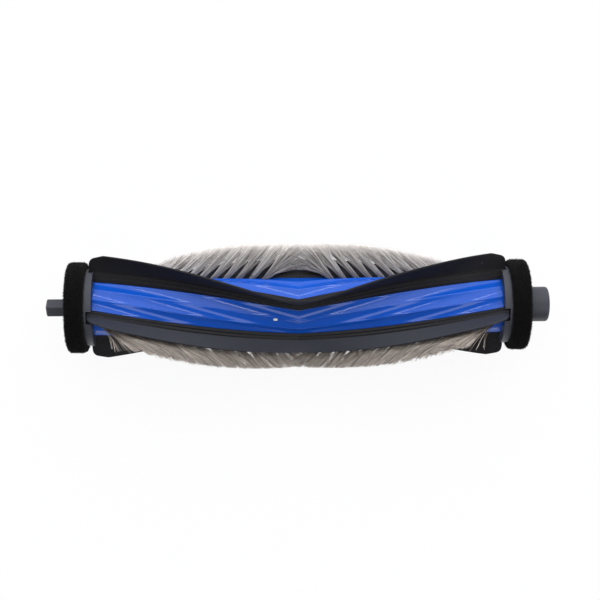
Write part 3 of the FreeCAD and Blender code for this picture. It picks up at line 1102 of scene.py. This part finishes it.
def floor_finish():
    """White that the camera and reflections see as almost evenly bright."""
    material, tree, shader = new_finish("floor_white", roughness=0.9, specular=0.0)
    shader.inputs["Base Color"].default_value = FLOOR_WHITE
    path = add_node(tree, "ShaderNodeLightPath")
    seen = add_node(tree, "ShaderNodeMath", operation="MAXIMUM")
    part = add_node(tree, "ShaderNodeMath", {1: floor_glow_share}, operation="MULTIPLY")
    glow = add_node(tree, "ShaderNodeEmission", {"Color": (1, 1, 1, 1), "Strength": 1.0})
    mixed = add_node(tree, "ShaderNodeMixShader")
    tree.links.new(path.outputs["Is Camera Ray"], seen.inputs[0])
    tree.links.new(path.outputs["Is Glossy Ray"], seen.inputs[1])
    tree.links.new(seen.outputs[0], part.inputs[0])
    tree.links.new(part.outputs[0], mixed.inputs["Fac"])
    tree.links.new(shader.outputs["BSDF"], mixed.inputs[1])
    tree.links.new(glow.outputs["Emission"], mixed.inputs[2])
    tree.links.new(mixed.outputs["Shader"], tree.nodes["Material Output"].inputs["Surface"])
    return material


def make_floor():
    """White floor under the lowest point of the brush."""
    bm = bmesh.new()
    bmesh.ops.create_grid(bm, x_segments=1, y_segments=1, size=floor_half)
    bmesh.ops.translate(bm, verts=list(bm.verts), vec=(0, 0, solid_box[0].z))
    mesh = bpy.data.meshes.new("floor")
    bm.to_mesh(mesh)
    bm.free()
    mesh.materials.append(floor_finish())
    floor = bpy.data.objects.new("floor", mesh)
    bpy.context.scene.collection.objects.link(floor)
    return floor


floor = make_floor()
print(floor.name, "at", round(solid_box[0].z / MM, 2), "mm")

# %% [markdown]
# ## Light
#
# Soft boxes light the brush from behind, where the top of the picture is, from above, and low in front. The
# glossy core would show each box as a broad pale patch, so reflections don't see them. What the gloss does
# see is a second set of lamps that light nothing else: a strip in front, a box at one side, and two thin
# strips that draw the lines of light along the flutes. The surroundings are bright behind the brush and dim
# in front, because a glossy form shows itself by what it mirrors.

# %% Lamps
camera_past_blade = -1.7


def soft_light(name, turn, x, size, power, mirrored):
    """Rectangular lamp that faces the brush; a mirrored one shows only in glossy surfaces.

    It stands a metre from the axis, turned round the axis from the camera's direction, and at x along it.
    """
    data = bpy.data.lights.new(name, "AREA")
    data.shape = "RECTANGLE"
    data.size, data.size_y = size
    data.energy = power
    lamp = bpy.data.objects.new(name, data)
    lamp.location = radial(turn + top_angle + camera_past_blade) + Vector((x, 0, 0))
    lamp.rotation_mode = "QUATERNION"
    lamp.rotation_quaternion = lamp.location.to_track_quat("Z", "Y")
    lamp.visible_glossy = mirrored
    lamp.visible_diffuse = not mirrored
    bpy.context.scene.collection.objects.link(lamp)
    print(name, "at", [round(value, 2) for value in lamp.location])


soft_light("back_softbox", turn=46.0, x=0.1, size=(1.4, 0.9), power=6.5, mirrored=False)
soft_light("top_softbox", turn=10.0, x=0.0, size=(1.2, 0.6), power=3.8, mirrored=False)
soft_light("front_softbox", turn=-80.0, x=0.0, size=(1.4, 0.7), power=4.2, mirrored=False)
soft_light("front_strip", turn=-30.0, x=0.0, size=(1.2, 0.25), power=2.0, mirrored=True)
soft_light("side_softbox", turn=-37.0, x=0.9, size=(0.7, 0.7), power=3.2, mirrored=True)
for name, turn in (("glint_top", 2.0), ("glint_back", 56.0)):
    soft_light(name, turn=turn, x=0.0, size=(0.45, 0.03), power=0.5, mirrored=True)

# %% Surroundings
BRIGHT_SIDE = (0.0, 0.94, 0.34)
SKY_COLOUR = (0.95, 0.97, 1.0, 1.0)
sky_levels = {"From Min": 0.3, "From Max": 0.87, "To Min": 0.15, "To Max": 1.4}


def make_world():
    """Pale surroundings that are bright behind the brush and dim in front of it."""
    world = bpy.data.worlds.new("studio")
    world.use_nodes = True
    tree = world.node_tree
    where = add_node(tree, "ShaderNodeTexCoord")
    towards = add_node(tree, "ShaderNodeVectorMath", {1: BRIGHT_SIDE}, operation="DOT_PRODUCT")
    level = add_node(tree, "ShaderNodeMapRange", sky_levels, interpolation_type="SMOOTHSTEP")
    tree.links.new(where.outputs["Generated"], towards.inputs[0])
    tree.links.new(towards.outputs["Value"], level.inputs["Value"])
    sky = tree.nodes["Background"]
    sky.inputs["Color"].default_value = SKY_COLOUR
    tree.links.new(level.outputs["Result"], sky.inputs["Strength"])
    return world


world = make_world()
bpy.context.scene.world = world
bpy.context.scene.view_settings.view_transform = "Standard"
print("surroundings made:", world.name)

# %% [markdown]
# ## Camera
#
# The picture is taken from almost straight above, a little past the vertical, so that the upper tall blade
# points at the lens. The lens is a short telephoto, and the small turns match how the camera was held.

# %% Camera
camera_offset = Vector((-12.08, 0.65, 533.34)) * MM
camera_yaw = -1.386
camera_pitch = 0.170
camera_roll = -0.456
camera_lens = 84.28


def make_camera():
    """Camera at the picture's viewing angle."""
    data = bpy.data.cameras.new("camera")
    data.lens = camera_lens
    data.sensor_width = 36.0
    data.clip_start = 0.01
    data.clip_end = 20.0
    look = Matrix.Rotation(-math.radians(top_angle + camera_past_blade), 3, "X")
    held = (Matrix.Rotation(math.radians(camera_yaw), 3, "Y")
            @ Matrix.Rotation(math.radians(camera_pitch), 3, "X")
            @ Matrix.Rotation(math.radians(camera_roll), 3, "Z"))
    camera = bpy.data.objects.new("camera", data)
    camera.matrix_world = Matrix.Translation(look @ camera_offset) @ (look @ held).to_4x4()
    bpy.context.scene.collection.objects.link(camera)
    bpy.context.scene.camera = camera
    return camera


camera = make_camera()
print("camera at", [round(value, 3) for value in camera.location])
